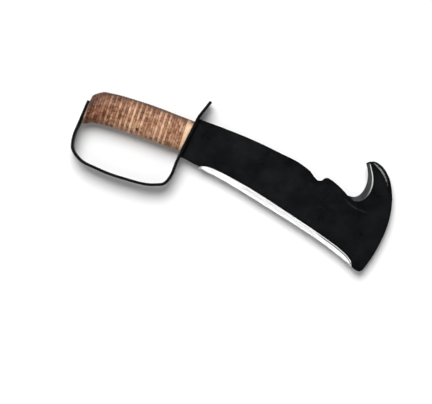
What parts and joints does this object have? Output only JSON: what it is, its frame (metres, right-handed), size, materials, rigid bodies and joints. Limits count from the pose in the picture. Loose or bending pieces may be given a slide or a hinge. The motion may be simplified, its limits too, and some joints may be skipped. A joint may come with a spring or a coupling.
{
  "type": "brush clearing hook knife",
  "caption": "Broad brush-clearing blade with a hooked end, a D-shaped knuckle guard bent from one strap and a grip of stacked leather washers on a full-length tang.",
  "frame": {"origin": "on the surface that the tool lies on, under the middle of its box; the tool lies level on its side, with the grip's belly touching that surface", "axes": "+X along the grip towards the hook, +Y from the cutting edge towards the spine, +Z through the blade's thickness"},
  "size_m": [0.4382, 0.156, 0.0286],
  "materials": {
    "blade_coat": "black satin coat over steel, worn bright along its edges; the cutting edge and the inside of the hook are ground back to bare steel",
    "guard_coat": "black satin coat over steel, rubbed on its corners",
    "leather_light": "varnished tan leather, washer edges outwards",
    "leather_dark": "varnished brown leather, washer edges outwards, darkened by the hand",
    "leather_wedge": "pale tan leather, less varnished"
  },
  "bodies": {
    "root": {"blade": "blade_coat", "knuckle_guard": "guard_coat", "front_wedge_washer": "leather_wedge", "grip_washer_01": "leather_light", "grip_washer_02": "leather_dark", "grip_washer_03": "leather_light", "grip_washer_04": "leather_dark", "grip_washer_05": "leather_light", "grip_washer_06": "leather_dark", "grip_washer_07": "leather_light", "grip_washer_08": "leather_dark", "grip_washer_09": "leather_light", "grip_washer_10": "leather_dark", "grip_washer_11": "leather_light", "grip_washer_12": "leather_dark", "grip_washer_13": "leather_light", "grip_washer_14": "leather_dark", "grip_washer_15": "leather_light", "grip_washer_16": "leather_dark", "grip_washer_17": "leather_light", "grip_washer_18": "leather_dark", "grip_washer_19": "leather_light", "grip_washer_20": "leather_dark", "grip_washer_21": "leather_light", "grip_washer_22": "leather_dark", "grip_washer_23": "leather_light", "grip_washer_24": "leather_dark", "grip_washer_25": "leather_light", "grip_washer_26": "leather_dark", "grip_washer_27": "leather_light", "grip_washer_28": "leather_dark", "grip_washer_29": "leather_dark", "grip_washer_30": "leather_dark", "grip_washer_31": "leather_dark", "grip_washer_32": "leather_dark", "grip_washer_33": "leather_dark", "grip_washer_34": "leather_dark", "grip_washer_35": "leather_dark", "grip_washer_36": "leather_dark", "grip_washer_37": "leather_dark", "grip_washer_38": "leather_dark", "rear_wedge_washer": "leather_wedge"}
  },
  "joints": []
}
